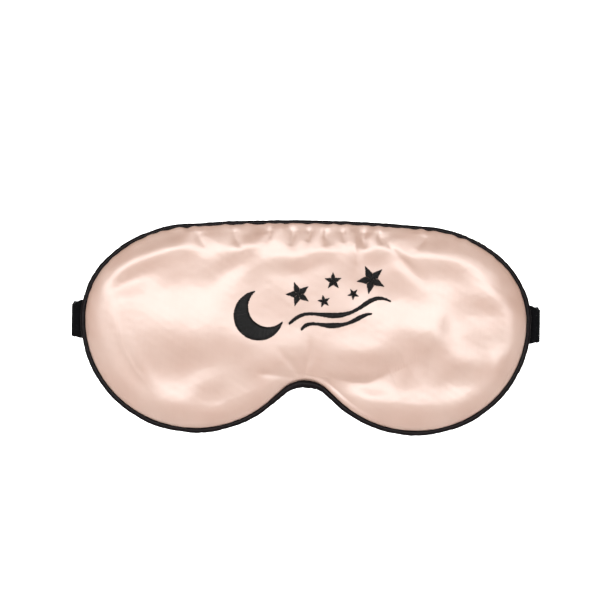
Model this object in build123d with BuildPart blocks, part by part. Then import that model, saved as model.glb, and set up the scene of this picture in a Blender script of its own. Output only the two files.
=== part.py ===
"""Sleep eye mask: a padded, piped satin mask with an adjustable elastic strap.

Millimetres. +X is the right of a viewer who faces the front, +Z is up and the front faces -Y.
The origin is in the seam plane, midway between the two sewn ends of the strap.
Plane.XZ.offset(d) is d in front of the seam plane, and a negative d is behind it.
"""

import math
import os

from build123d import *

# --- Driving dimensions --------------------------------------------------------------------

# Seam line, half of it, clockwise from the top centre: (radius, sweep in degrees)
SEAM_TOP = 44.8
SEAM_ARCS = [(666.0, 4.95), (55.8, 37.3), (37.3, 48.1), (49.9, 54.6)]
LOBE_RADIUS = 52.3
NOTCH_RADIUS = 16.0
NOTCH_SLOPE = 41.2  # degrees that the edge beside the nose rises

SATIN = 0.4
SEAM_ALLOWANCE = 5.0
FRONT_CROWN = 6.2
BACK_CROWN = 4.8
CROWN_PROFILE = [(0.0, 0.0), (0.9, 0.32), (3.6, 0.64), (8.5, 0.86), (16.0, 1.0)]  # inset, share
LAYER_GAP = 0.06
LINER = 1.0
LINER_INSET = 5.4
THREAD_RADIUS = 0.2
THREAD_INSET = 1.3

PIPING_RADIUS = 1.3
PIPING_WALL = 0.4
PIPING_CORD_RADIUS = 0.8
FLANGE = 0.3
FLANGE_OVERLAP = 0.1  # how far the flange reaches into the tube

BAND_WIDTH = 18.0
BAND = 1.0
BAND_Y = 2.0  # the band's centreline where it leaves the seam, just behind the piping
BAND_END_X = 94.0
STUB_BEND = 3.5
ARM_X = 109.4
ARM_STRAIGHT = 14.0
LOOP_RADIUS = 50.0
BACK_Y = BAND_Y + STUB_BEND + ARM_STRAIGHT + LOOP_RADIUS
BACK_HALF = ARM_X - LOOP_RADIUS  # half of the straight run behind the head
RUNNING_GAP = 0.1
WRAP_GAP = 0.05  # between a bar and the band folded round it
SEWN_GAP = 0.04  # between two layers of band that are sewn together

STITCH_LENGTH = 2.4
STITCH_BREADTH = 0.5
STITCH_RISE = 0.3
STITCH_PITCH = 0.9
STITCH_MARGIN = 1.2  # from the last stitch to the band's edge
TACK_X = 96.5  # the stitches that hold the sewn ends
TACK_ROOM = (4.0, 0.8)  # the wadding's recess over them: length, depth

RING_X = -38.0
RING_SPAN = 8.0  # between the centres of the two bars that the bands go round
RING_WIRE = 1.0
RING_CORNER = 1.6
SIDE_PLAY = 0.2  # between a band's edge and the ring's or slider's ends
SLIDER_X = 10.0
SLIDER_HALF = 6.6
CENTRE_BAR = 0.9
OUTER_BAR = 2.2
OUTER_BAR_HEIGHT = 1.6
CHEEK = 1.8
CHEEK_FOOT = 2.2
CHEEK_CORNER = 0.75
CHEEK_WALL = 0.3  # past the centre bar
CHEEK_SHOULDER = 0.6  # depth of the cheek under the outer bars
TAB_SLOPE = 8.0  # length over which a folded end closes onto the band
TAB_SEWN = 6.0
TAIL_LEAD = 1.0  # of the tail before its folded end

BACKING = 0.25
BACKING_SIZE = (80, 25, 9)  # length, height, corner radius
MOTIF_CENTRE = (3.5, 8.0)
MOTIF_TILT = 12.0
MOTIF_HEIGHT = 0.5
MOON_CENTRE, MOON_RADIUS = (-26.0, 0.0), 11.5
MOON_BITE_CENTRE, MOON_BITE_RADIUS = (-20.8, 3.1), 9.4
STAR_WAIST = 0.45  # inner corners, as a share of the radius
STARS = [  # centre, radius, turn in degrees
    ((-6.0, 6.2), 5.8, 8.0),
    ((5.0, 0.6), 2.9, 0.0),
    ((11.0, 9.0), 4.0, -10.0),
    ((19.0, 1.2), 2.7, 20.0),
    ((28.5, 6.2), 6.8, 14.0),
]
SWASHES = [  # points along each stroke's middle
    [(-13.0, -6.6), (-5.0, -3.6), (4.0, -5.6), (14.0, -7.2), (24.0, -4.2), (35.5, -5.8)],
    [(-8.0, -10.4), (0.0, -9.2), (9.0, -11.6), (18.0, -10.6), (26.0, -9.6)],
]
SWASH_WIDTH = 2.0

os.makedirs("parts", exist_ok=True)


def save(piece, name):
    """Names the finished piece and writes it as its own STEP file."""
    piece.part.label = name
    export_step(piece.part, f"parts/{name}.step")


# --- Seam outline and crowned shells -------------------------------------------------------


def seam_face(grow, depth):
    """The outline inside the seam line, grown outwards by grow, depth in front of the seam."""
    lobe_sweep = 180 + NOTCH_SLOPE - sum(sweep for _, sweep in SEAM_ARCS)
    slope = math.radians(NOTCH_SLOPE)
    notch_start = (NOTCH_RADIUS - grow) * math.sin(slope)
    with BuildSketch(Plane.XZ.offset(depth)) as section:
        with BuildLine():
            point, heading = (0, SEAM_TOP + grow), (1, 0)
            for radius, sweep in [*SEAM_ARCS, (LOBE_RADIUS, lobe_sweep)]:
                arc = JernArc(point, heading, radius + grow, -sweep)
                point, heading = arc @ 1, arc % 1
            rise = (point.X - notch_start) * math.tan(slope)
            side = Line(point, (notch_start, point.Y + rise))
            JernArc(side @ 1, side % 1, NOTCH_RADIUS - grow, NOTCH_SLOPE)
            mirror(about=Plane.YZ)
        make_face()
    return section.sketch


def crown_sections(inset, base, height, side):
    """Faces for a loft from the seam to the flat of the crown. side is 1 in front, -1 behind."""
    return [
        seam_face(-inset - drawn_in, side * (base + height * share))
        for drawn_in, share in CROWN_PROFILE
    ]


def satin_shell(height, side):
    """A satin cover: its crown, and the seam allowance turned in under the crown."""
    base = FLANGE / 2
    with BuildPart() as shell:
        loft(crown_sections(0, base, height, side))
        loft(crown_sections(SATIN, base + SATIN, height - 2 * SATIN, side), mode=Mode.SUBTRACT)
        with BuildSketch(Plane.XZ.offset(side * base)):
            add(seam_face(-SEAM_ALLOWANCE, side * base))
        extrude(amount=side * SATIN, mode=Mode.SUBTRACT)
    return shell


def wadding(height, side, top_gap):
    """Soft filling between the seam allowance and the crown of a cover."""
    base = FLANGE / 2 + SATIN + LAYER_GAP
    with BuildPart() as filling:
        loft(crown_sections(SATIN + LAYER_GAP, base, height - 2 * SATIN - top_gap, side))
        add(thread_loop(side, THREAD_RADIUS + LAYER_GAP), mode=Mode.SUBTRACT)
    return filling


def loop_along_seam(grow, depth, outer, inner=0.0):
    """A closed round rope or tube that follows the seam line."""
    route = seam_face(grow, depth).wire()
    start = Plane(origin=route @ 0, z_dir=route % 0)
    with BuildPart() as rope:
        with BuildSketch(start):
            Circle(outer)
        sweep(path=route)
        if inner:
            with BuildSketch(start):
                Circle(inner)
            sweep(path=route, mode=Mode.SUBTRACT)
    return rope.part


def thread_loop(side, radius):
    """The seam's thread where it lies on the seam allowance of one cover."""
    depth = side * (FLANGE / 2 + SATIN + THREAD_RADIUS)
    return loop_along_seam(-THREAD_INSET, depth, radius)


# --- Strap bands ---------------------------------------------------------------------------


def band_from(route):
    """The elastic band along a route in the XY plane, its width along Z."""
    with BuildPart() as band:
        with BuildSketch(Plane.XY.offset(-BAND_WIDTH / 2)):
            trace(route.line, line_width=BAND)
        extrude(amount=BAND_WIDTH)
    return band


def band_slot(side):
    """The room that a sewn band end takes inside the mask. side is 1 on the right."""
    start = BAND_END_X - RUNNING_GAP
    with BuildPart() as slot:
        with Locations((side * (start + ARM_X) / 2, BAND_Y, 0)):
            Box(ARM_X - start, BAND + 4 * RUNNING_GAP, BAND_WIDTH + 4 * RUNNING_GAP)
    return slot.part


def stitch_row(x, y):
    """A bar tack: short parallel stitches down the band, standing on the face at y."""
    rows = int((BAND_WIDTH - 2 * STITCH_MARGIN) / STITCH_PITCH)
    with BuildPart() as tack:
        with BuildSketch(Plane.XZ.offset(-y)):
            with Locations((x, 0)):
                with GridLocations(STITCH_LENGTH, STITCH_PITCH, 1, rows):
                    SlotOverall(STITCH_LENGTH, STITCH_BREADTH)
        extrude(amount=-STITCH_RISE)
    return tack


# === Mask ==================================================================================

front_panel = satin_shell(FRONT_CROWN, 1)
save(front_panel, "front_panel")

back_panel = satin_shell(BACK_CROWN, -1)
with back_panel:
    for side in (-1, 1):
        add(band_slot(side), mode=Mode.SUBTRACT)
save(back_panel, "back_panel")

front_wadding = wadding(FRONT_CROWN, 1, BACKING + 3 * LAYER_GAP)
save(front_wadding, "front_wadding")

back_wadding = wadding(BACK_CROWN, -1, 2 * LAYER_GAP)
with back_wadding:
    for side in (-1, 1):
        add(band_slot(side), mode=Mode.SUBTRACT)
        with Locations((side * TACK_X, BAND_Y + BAND / 2 + TACK_ROOM[1] / 2, 0)):
            Box(*TACK_ROOM, BAND_WIDTH, mode=Mode.SUBTRACT)
save(back_wadding, "back_wadding")

with BuildPart() as blackout_liner:
    extrude(seam_face(-LINER_INSET, -LINER / 2), amount=LINER)
save(blackout_liner, "blackout_liner")

with BuildPart() as seam_needle_thread:
    add(thread_loop(1, THREAD_RADIUS))
save(seam_needle_thread, "seam_needle_thread")

with BuildPart() as seam_bobbin_thread:
    add(thread_loop(-1, THREAD_RADIUS))
save(seam_bobbin_thread, "seam_bobbin_thread")

with BuildPart() as piping_cord:
    add(loop_along_seam(PIPING_RADIUS, 0, PIPING_CORD_RADIUS))
save(piping_cord, "piping_cord")

with BuildPart() as flange:
    extrude(seam_face(FLANGE_OVERLAP, -FLANGE / 2), amount=FLANGE)
    extrude(seam_face(-SEAM_ALLOWANCE, -FLANGE), amount=2 * FLANGE, mode=Mode.SUBTRACT)

with BuildPart() as piping_cover:
    add(loop_along_seam(PIPING_RADIUS, 0, PIPING_RADIUS, PIPING_RADIUS - PIPING_WALL))
    add(flange.part)
    # the strip is folded round the cord, so its flange is two plies
    extrude(seam_face(PIPING_RADIUS, -LAYER_GAP / 2), amount=LAYER_GAP, mode=Mode.SUBTRACT)
save(piping_cover, "piping_cover")

for name, side in (("left_anchor_stitches", -1), ("right_anchor_stitches", 1)):
    save(stitch_row(side * TACK_X, BAND_Y + BAND / 2), name)

# --- Embroidery ----------------------------------------------------------------------------

motif_plane = Plane(
    origin=(MOTIF_CENTRE[0], -FLANGE / 2 - FRONT_CROWN, MOTIF_CENTRE[1]),
    x_dir=(math.cos(math.radians(MOTIF_TILT)), 0, math.sin(math.radians(MOTIF_TILT))),
    z_dir=(0, -1, 0),
)


def star_points(centre, radius, turn):
    """Corners of a five-pointed star."""
    corners = []
    for corner in range(10):
        reach = radius if corner % 2 == 0 else STAR_WAIST * radius
        angle = math.radians(90 + turn + 36 * corner)
        corners.append((centre[0] + reach * math.cos(angle), centre[1] + reach * math.sin(angle)))
    return corners


with BuildPart() as embroidered_moon:
    with BuildSketch(motif_plane):
        with Locations(MOON_CENTRE):
            Circle(MOON_RADIUS)
        with Locations(MOON_BITE_CENTRE):
            Circle(MOON_BITE_RADIUS, mode=Mode.SUBTRACT)
    extrude(amount=MOTIF_HEIGHT)
save(embroidered_moon, "embroidered_moon")

with BuildPart() as embroidered_stars:
    with BuildSketch(motif_plane):
        for centre, radius, turn in STARS:
            with BuildLine():
                Polyline(*star_points(centre, radius, turn), close=True)
            make_face()
    extrude(amount=MOTIF_HEIGHT)
save(embroidered_stars, "embroidered_stars")

with BuildPart() as embroidered_swashes:
    with BuildSketch(motif_plane):
        for points in SWASHES:
            with BuildLine() as stroke:
                Spline(*points)
            trace(stroke.line, line_width=SWASH_WIDTH)
    extrude(amount=MOTIF_HEIGHT)
save(embroidered_swashes, "embroidered_swashes")

with BuildPart() as embroidery_backing:
    with BuildSketch(motif_plane.offset(-SATIN - BACKING - LAYER_GAP)):
        RectangleRounded(*BACKING_SIZE)
    extrude(amount=BACKING)
save(embroidery_backing, "embroidery_backing")

# === Strap =================================================================================


def strap_arm(side):
    """The band from its sewn end, round the stub beside the mask and back to the rear run."""
    with BuildLine() as route:
        sewn = Line((BAND_END_X, BAND_Y), (ARM_X - STUB_BEND, BAND_Y))
        stub = JernArc(sewn @ 1, sewn % 1, STUB_BEND, 90)
        temple = Line(stub @ 1, stub @ 1 + Vector(0, ARM_STRAIGHT))
        JernArc(temple @ 1, temple % 1, LOOP_RADIUS, 90)
        if side < 0:
            mirror(about=Plane.YZ, mode=Mode.REPLACE)
    return band_from(route)


save(strap_arm(-1), "short_strap_arm")
save(strap_arm(1), "long_strap_arm")

ring_left, ring_right = RING_X - RING_SPAN / 2, RING_X + RING_SPAN / 2
ring_wrap = RING_WIRE + WRAP_GAP + BAND / 2
ring_y = BACK_Y - ring_wrap
bar_wrap = CENTRE_BAR + WRAP_GAP + BAND / 2
centre_bar_y = BACK_Y - BAND - RUNNING_GAP - bar_wrap
touching = BAND + SEWN_GAP

with BuildLine() as short_end_line:
    rear = Line((-BACK_HALF, BACK_Y), (ring_left, BACK_Y))
    fold = JernArc(rear @ 1, rear % 1, ring_wrap, -180)
    tab_start = (ring_left - TAB_SLOPE, BACK_Y - touching)
    Spline(fold @ 1, tab_start, tangents=[(-1, 0), (-1, 0)])
    Line(tab_start, (ring_left - TAB_SLOPE - TAB_SEWN, BACK_Y - touching))
save(band_from(short_end_line), "short_strap_end")

tack_x = ring_left - TAB_SLOPE - TAB_SEWN / 2
save(stitch_row(tack_x, BACK_Y + BAND / 2), "short_strap_stitches")

with BuildLine() as long_back_line:
    rear = Line((BACK_HALF, BACK_Y), (ring_right, BACK_Y))
    JernArc(rear @ 1, rear % 1, ring_wrap, 180)
save(band_from(long_back_line), "long_strap_back")

tail_y = centre_bar_y - bar_wrap
tab_end = SLIDER_X - TAB_SLOPE - TAB_SEWN
with BuildLine() as long_return_line:
    Spline(
        (ring_right, BACK_Y - 2 * ring_wrap),
        (tab_end - TAIL_LEAD, tail_y),
        tangents=[(1, 0), (1, 0)],
    )
save(band_from(long_return_line), "long_strap_return")

with BuildLine() as long_tail_line:
    under = Line((tab_end - TAIL_LEAD, tail_y), (SLIDER_X, tail_y))
    fold = JernArc(under @ 1, under % 1, bar_wrap, 180)
    tab_start = (SLIDER_X - TAB_SLOPE, tail_y + touching)
    Spline(fold @ 1, tab_start, tangents=[(-1, 0), (-1, 0)])
    Line(tab_start, (tab_end, tail_y + touching))
save(band_from(long_tail_line), "long_strap_tail")

tail_face = tail_y - BAND / 2 - STITCH_RISE
save(stitch_row(tab_end + TAB_SEWN / 2, tail_face), "long_strap_stitches")

# --- Ring and slider -----------------------------------------------------------------------

ring_half_height = BAND_WIDTH / 2 + SIDE_PLAY + RING_CORNER
with BuildSketch(Plane.XZ.offset(-ring_y)) as ring_frame:
    with Locations((RING_X, 0)):
        RectangleRounded(RING_SPAN, 2 * ring_half_height, RING_CORNER)
ring_path = ring_frame.sketch.wire()
with BuildPart() as strap_ring:
    with BuildSketch(Plane(origin=ring_path @ 0, z_dir=ring_path % 0)):
        Circle(RING_WIRE)
    sweep(path=ring_path)
save(strap_ring, "strap_ring")

bar_y = BACK_Y + BAND / 2 + RUNNING_GAP  # underside of the slider's two outer bars
high = bar_y + OUTER_BAR_HEIGHT
shoulder = bar_y - CHEEK_SHOULDER
low = centre_bar_y - CENTRE_BAR - CHEEK_WALL
cheek_z = BAND_WIDTH / 2 + SIDE_PLAY
with BuildPart() as slider:
    for top in (1, -1):
        with BuildSketch(Plane.XY.offset(top * cheek_z)):
            with BuildLine():
                Polyline(
                    (SLIDER_X - CHEEK_FOOT, low),
                    (SLIDER_X + CHEEK_FOOT, low),
                    (SLIDER_X + SLIDER_HALF, shoulder),
                    (SLIDER_X + SLIDER_HALF, high),
                    (SLIDER_X - SLIDER_HALF, high),
                    (SLIDER_X - SLIDER_HALF, shoulder),
                    close=True,
                )
            fillet(make_face().vertices(), CHEEK_CORNER)
        extrude(amount=top * CHEEK)
    with BuildSketch(Plane.XY.offset(-cheek_z)):
        with Locations((SLIDER_X, centre_bar_y)):
            Circle(CENTRE_BAR)
        for end in (-1, 1):
            with Locations(
                (SLIDER_X + end * (SLIDER_HALF - OUTER_BAR / 2), bar_y + OUTER_BAR_HEIGHT / 2)
            ):
                RectangleRounded(OUTER_BAR, OUTER_BAR_HEIGHT, CHEEK_CORNER)
    extrude(amount=2 * cheek_z)
save(slider, "slider")
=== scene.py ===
"""The looks of the sleep eye mask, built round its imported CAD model.

Metres and row frame, as in the CAD: +X right, +Z up, the front faces -Y. The few dimensions that the CAD
file also holds are written in millimetres, as they are there, and turned into metres by MM.
"""

import math
import random
from collections import namedtuple

import bpy
import numpy as np
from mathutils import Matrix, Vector, kdtree
from mathutils.bvhtree import BVHTree


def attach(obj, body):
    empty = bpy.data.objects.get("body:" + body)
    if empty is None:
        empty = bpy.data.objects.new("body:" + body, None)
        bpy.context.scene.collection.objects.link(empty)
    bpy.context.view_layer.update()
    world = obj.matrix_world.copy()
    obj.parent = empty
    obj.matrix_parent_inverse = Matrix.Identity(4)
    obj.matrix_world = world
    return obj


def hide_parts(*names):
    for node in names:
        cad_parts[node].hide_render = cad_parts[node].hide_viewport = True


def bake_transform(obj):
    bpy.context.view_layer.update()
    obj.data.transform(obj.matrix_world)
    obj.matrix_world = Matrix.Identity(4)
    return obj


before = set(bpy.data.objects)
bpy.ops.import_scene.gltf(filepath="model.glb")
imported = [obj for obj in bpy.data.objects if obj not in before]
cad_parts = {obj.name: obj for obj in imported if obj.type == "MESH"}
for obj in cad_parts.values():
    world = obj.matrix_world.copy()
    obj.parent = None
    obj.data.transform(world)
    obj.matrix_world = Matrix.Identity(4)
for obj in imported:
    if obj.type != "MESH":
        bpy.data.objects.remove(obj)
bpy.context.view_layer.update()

MM = 0.001

# --- Dimensions shared with the CAD, in millimetres

SEAM_TOP = 44.8
SEAM_ARCS = ((666.0, 4.95), (55.8, 37.3), (37.3, 48.1), (49.9, 54.6))
LOBE_RADIUS = 52.3
NOTCH_RADIUS = 16.0
NOTCH_SLOPE = 41.2
SATIN = 0.4
HALF_FLANGE = 0.15  # half of the piping's flange, which lies between the covers
PIPING_RADIUS = 1.3

BAND_WIDTH, BAND = 18.0, 1.0
BAND_Y, BAND_END_X = 2.0, 94.0
STUB_BEND, ARM_X, ARM_STRAIGHT, LOOP_RADIUS = 3.5, 109.4, 14.0, 50.0
BACK_Y = BAND_Y + STUB_BEND + ARM_STRAIGHT + LOOP_RADIUS
BACK_HALF = ARM_X - LOOP_RADIUS
ARM_SPLIT_Y = 27.0  # the arm is two pieces here, one for each of the joints that it crosses
RING_X, RING_SPAN, RING_WRAP = -38.0, 8.0, 1.55
SLIDER_X, BAR_WRAP = 10.0, 1.45
TAB_SLOPE, TAB_SEWN, TAIL_LEAD = 8.0, 6.0, 1.0
TACK_X = 96.5  # the stitches that hold the strap's sewn ends
SEWN_STEP = 1.04  # between the middles of two layers of band sewn together
CENTRE_BAR_Y = BACK_Y - BAND - 0.1 - BAR_WRAP

MOTIF_CENTRE, MOTIF_TILT = (3.5, 8.0), 12.0
MOON_CENTRE, MOON_RADIUS = (-26.0, 0.0), 11.5
BITE_CENTRE, BITE_RADIUS = (-20.8, 3.1), 9.4
STAR_WAIST = 0.45
STARS = (
    ((-6.0, 6.2), 5.8, 8.0),
    ((5.0, 0.6), 2.9, 0.0),
    ((11.0, 9.0), 4.0, -10.0),
    ((19.0, 1.2), 2.7, 20.0),
    ((28.5, 6.2), 6.8, 14.0),
)
SWASHES = (
    ((-13.0, -6.6), (-5.0, -3.6), (4.0, -5.6), (14.0, -7.2), (24.0, -4.2), (35.5, -5.8)),
    ((-8.0, -10.4), (0.0, -9.2), (9.0, -11.6), (18.0, -10.6), (26.0, -9.6)),
)

# --- Mesh helpers


def linked(name, points, faces):
    """An object in the scene from an array of points and a list of faces."""
    mesh = bpy.data.meshes.new(name)
    mesh.from_pydata(points.tolist(), [], faces)
    piece = bpy.data.objects.new(name, mesh)
    bpy.context.scene.collection.objects.link(piece)
    return piece


def mesh_object(name, node, points, faces, slot, body="mask", uv=None):
    """A smooth-shaded piece in the place of a CAD node, riding on a body unless that is None.

    Its points are in millimetres, slot picks its material, and uv is each point's place in the weave.
    """
    piece = linked(name, np.asarray(points, float) * MM, faces)
    mesh = piece.data
    mesh.polygons.foreach_set("use_smooth", [True] * len(mesh.polygons))
    if uv is not None:
        corners = np.zeros(len(mesh.loops), int)
        mesh.loops.foreach_get("vertex_index", corners)
        layer = mesh.uv_layers.new(name="weave")
        layer.data.foreach_set("uv", np.asarray(uv, np.float32)[corners].ravel())
    mesh.materials.append(LOOKS[slot])
    mesh.validate()
    if body is not None:
        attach(piece, body)
    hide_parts(node)
    return piece


def grid_faces(rows, columns, first=0, wrap_rows=False, wrap_columns=False):
    """Quads of a grid whose vertices are numbered row by row from first."""
    faces = []
    for row in range(rows if wrap_rows else rows - 1):
        below = (row + 1) % rows
        for column in range(columns if wrap_columns else columns - 1):
            right = (column + 1) % columns
            corners = (row, column), (row, right), (below, right), (below, column)
            faces.append([first + r * columns + c for r, c in corners])
    return faces


def tube(points, radii, sides, closed=False):
    """Points and faces of a round tube along a line of points, capped at its ends if it is open."""
    points = np.asarray(points, float)
    count = len(points)
    if closed:
        tangents = np.roll(points, -1, 0) - np.roll(points, 1, 0)
    else:
        tangents = np.gradient(points, axis=0)
    tangents /= np.linalg.norm(tangents, axis=1)[:, None]
    guide = np.array([0.0, 1.0, 0.0]) if abs(tangents[:, 1]).max() < 0.9 else np.array([0.0, 0.0, 1.0])
    across = np.cross(tangents, guide)
    across /= np.linalg.norm(across, axis=1)[:, None]
    other = np.cross(tangents, across)
    turn = np.arange(sides) * 2 * math.pi / sides
    radii = np.broadcast_to(np.asarray(radii, float), (count,))[:, None, None]
    ring = across[:, None] * np.cos(turn)[None, :, None] + other[:, None] * np.sin(turn)[None, :, None]
    shell = (points[:, None] + radii * ring).reshape(-1, 3)
    faces = grid_faces(count, sides, wrap_rows=closed, wrap_columns=True)
    if not closed:
        faces += [list(range(sides))[::-1], list(range((count - 1) * sides, count * sides))]
    return shell, faces


def joined(parts):
    """Several (points, faces) as one."""
    points, faces, first = [], [], 0
    for part_points, part_faces in parts:
        points.append(part_points)
        faces += [[first + i for i in face] for face in part_faces]
        first += len(part_points)
    return np.concatenate(points), faces


def smooth(low, high, value):
    """0 below low, 1 above high, and a smooth step between them."""
    t = np.clip((value - low) / (high - low), 0, 1)
    return t * t * (3 - 2 * t)


# --- The seam outline


def half_seam(step=0.05):
    """x, z, heading and distance along the right half, clockwise from the top to the notch."""
    last = 180 + NOTCH_SLOPE - sum(sweep for _, sweep in SEAM_ARCS)
    runs = [(radius, -sweep) for radius, sweep in (*SEAM_ARCS, (LOBE_RADIUS, last))]
    x, z, heading, rows = 0.0, SEAM_TOP, 0.0, []

    def arc(radius, sweep):
        nonlocal x, z, heading
        turn = math.radians(sweep)
        side = math.copysign(radius, turn)
        centre = x - side * math.sin(heading), z + side * math.cos(heading)
        count = max(2, int(radius * abs(turn) / step))
        for angle in heading + turn * np.arange(count) / count:
            rows.append((centre[0] + side * math.sin(angle), centre[1] - side * math.cos(angle), angle))
        heading += turn
        x, z = centre[0] + side * math.sin(heading), centre[1] - side * math.cos(heading)

    for radius, sweep in runs:
        arc(radius, sweep)
    slope = math.radians(NOTCH_SLOPE)
    reach = (x - NOTCH_RADIUS * math.sin(slope)) / math.cos(slope)
    for along in np.arange(0, reach, step):
        rows.append((x - along * math.cos(slope), z + along * math.sin(slope), heading))
    x, z = x - reach * math.cos(slope), z + reach * math.sin(slope)
    arc(NOTCH_RADIUS, NOTCH_SLOPE)
    rows.append((0.0, z, heading))
    x, z, heading = np.array(rows).T
    along = np.concatenate([[0], np.cumsum(np.hypot(np.diff(x), np.diff(z)))])
    return x, z, heading, along


COLUMNS = 480  # columns in each of the upper and lower halves of a cover
AROUND = 2 * COLUMNS
HALF_X, HALF_Z, HALF_HEADING, HALF_ALONG = half_seam()
SIDE_ALONG = HALF_ALONG[HALF_X.argmax()]
HALF_LENGTH = HALF_ALONG[-1]


def seam_columns():
    """Seam points (x, z), outward normals and signed distance from the top, from the left end round."""
    share = np.linspace(-1, 1, COLUMNS + 1)
    upper = np.abs(share) * SIDE_ALONG
    lower = (HALF_LENGTH - np.abs(share) * (HALF_LENGTH - SIDE_ALONG))[::-1]
    side = np.concatenate([np.sign(share)[:-1], np.sign(share)[::-1][:-1]])
    side[side == 0] = 1
    along = np.concatenate([upper[:-1], lower[:-1]])
    heading = np.interp(along, HALF_ALONG, HALF_HEADING)
    x = side * np.interp(along, HALF_ALONG, HALF_X)
    z = np.interp(along, HALF_ALONG, HALF_Z)
    return x, z, -side * np.sin(heading), np.cos(heading), side * along


SEAM_X, SEAM_Z, OUT_X, OUT_Z, SEAM_AT = seam_columns()

# --- Relief of the satin

# Where the satin leans over its filling: x, z, half-width along, half-width across, turn in degrees,
# then how far it leans up and to the right (as slopes). A lean up catches the light.
FRONT_LEANS = (
    (-74, 26, 19, 6.5, 30, -0.36, 0.03),
    (-54, 36, 10, 5, -20, 0.16, 0.05),
    (-31, 30, 11, 5.5, 36, -0.3, 0.05),
    (-42, 39, 7, 4.5, -35, 0.16, 0),
    (-9, 26, 11, 5, 0, -0.26, 0),
    (7, 30, 8, 5, 10, -0.24, 0),
    (32, 31, 8, 5.5, 12, -0.26, 0.03),
    (45, 29, 9, 3, -42, -0.34, -0.15),
    (61, 26, 13, 8, -8, -0.32, 0.03),
    (84, 9, 9, 7, 0, -0.22, 0),
    (-62, 9, 25, 12, 4, 0.2, 0),
    (-50, -16, 29, 11, 0, -0.3, 0),
    (-79, -20, 13, 4, -62, -0.14, -0.24),
    (-61, -35, 13, 9.5, -15, 0.2, 0.02),
    (-42, -31, 11, 8, 40, -0.2, 0.06),
    (-18, -22, 13, 6, 20, -0.2, 0.03),
    (43, 5, 19, 11, -30, 0.2, -0.05),
    (68, -4, 12, 8, 86, 0.1, 0.02),
    (57, -12, 14, 6, 80, -0.17, -0.04),
    (73, -22, 9, 7.5, 0, -0.28, 0.03),
    (90, -15, 9, 7, 84, 0.22, 0.03),
    (64, -35, 15, 9.5, 6, 0.22, 0),
    (38, -34, 16, 7, -8, 0.18, 0),
    (29, -17, 17, 6, 2, -0.26, 0),
)
BACK_LEANS = (
    (-64, 22, 20, 8, 24, -0.11, 0.03),
    (-30, 31, 14, 6, -12, -0.1, 0),
    (12, 27, 16, 7, 8, -0.11, 0.02),
    (56, 24, 18, 8, -20, -0.12, 0),
    (-58, -14, 22, 10, -8, 0.1, 0.03),
    (52, -16, 22, 10, 10, -0.1, 0.05),
    (-70, -34, 12, 7, -20, 0.12, 0),
    (66, -33, 12, 7, 15, 0.12, 0),
    (0, 2, 22, 10, 0, 0.07, 0),
)
# Folds: points along the fold, depth (negative for a ridge), width above it, width below it
FRONT_FOLDS = (
    (((3, -24.5), (15, -26.3), (27, -28), (37, -24.5), (47, -18)), 1.4, 6, 9),
    (((12, -26.4), (22, -28), (30, -27.9), (40, -22.8)), 1.6, 2.7, 9.5),
    (((-89, 13), (-87.5, 0), (-85, -12), (-79, -23), (-73, -30)), -0.55, 1.3, 3.2),
    (((0, -25), (1.5, -17), (2, -8)), 0.65, 1.6, 1.6),
    (((-3, -25), (-7, -19), (-13, -13)), 0.5, 1.4, 1.8),
    (((-4, -26.5), (-13, -25), (-23, -24)), 0.5, 1.5, 1.8),
    (((22, 43), (22, 35), (23, 27)), -0.75, 2, 2.4),
    (((37, 37), (43, 31), (49.5, 25)), 0.85, 2.6, 1.8),
    (((-34, 44.2), (-33, 38), (-30, 33)), 0.55, 1.7, 1.7),
    (((-17, 44.6), (-17.5, 40), (-19, 36)), 0.4, 1.5, 1.5),
    (((-7, 44.8), (-6.5, 40), (-7.5, 35)), 0.65, 1.7, 1.7),
    (((1, 44.8), (1.2, 40.5), (0, 37)), 0.6, 1.5, 1.5),
    (((9, 44.7), (8.6, 40), (9.4, 35)), 0.65, 1.7, 1.7),
    (((16.8, 44.6), (16.6, 40.5), (17.6, 37)), 0.6, 1.5, 1.5),
    (((27, 44.2), (26, 38.5), (27.5, 34)), 0.7, 1.8, 1.8),
    (((33.5, 43.9), (33.5, 40), (35, 36)), 0.5, 1.6, 1.6),
    (((55, 42), (54, 38), (51, 34)), 0.4, 1.9, 1.9),
    (((-51, 42.4), (-50, 38), (-47, 34)), 0.4, 1.9, 1.9),
)
BACK_FOLDS = (
    (((1, -24), (-9, -22), (-24, -23)), 0.55, 3, 2),
    (((2, -24), (12, -20), (21, -13)), 0.45, 2.6, 1.8),
    (((0, -25), (-1, -15), (-3, -6)), 0.3, 1.6, 1.6),
)


def lean_height(x, z, leans):
    """How far the leaning patches lift the satin."""
    height = np.zeros_like(x)
    for at_x, at_z, long, wide, turn, up, right in leans:
        angle = math.radians(turn)
        dx, dz = x - at_x, z - at_z
        along = (dx * math.cos(angle) + dz * math.sin(angle)) / long
        across = (dz * math.cos(angle) - dx * math.sin(angle)) / wide
        height -= (up * dz + right * dx) * np.exp(-along * along - across * across)
    return height


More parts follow.
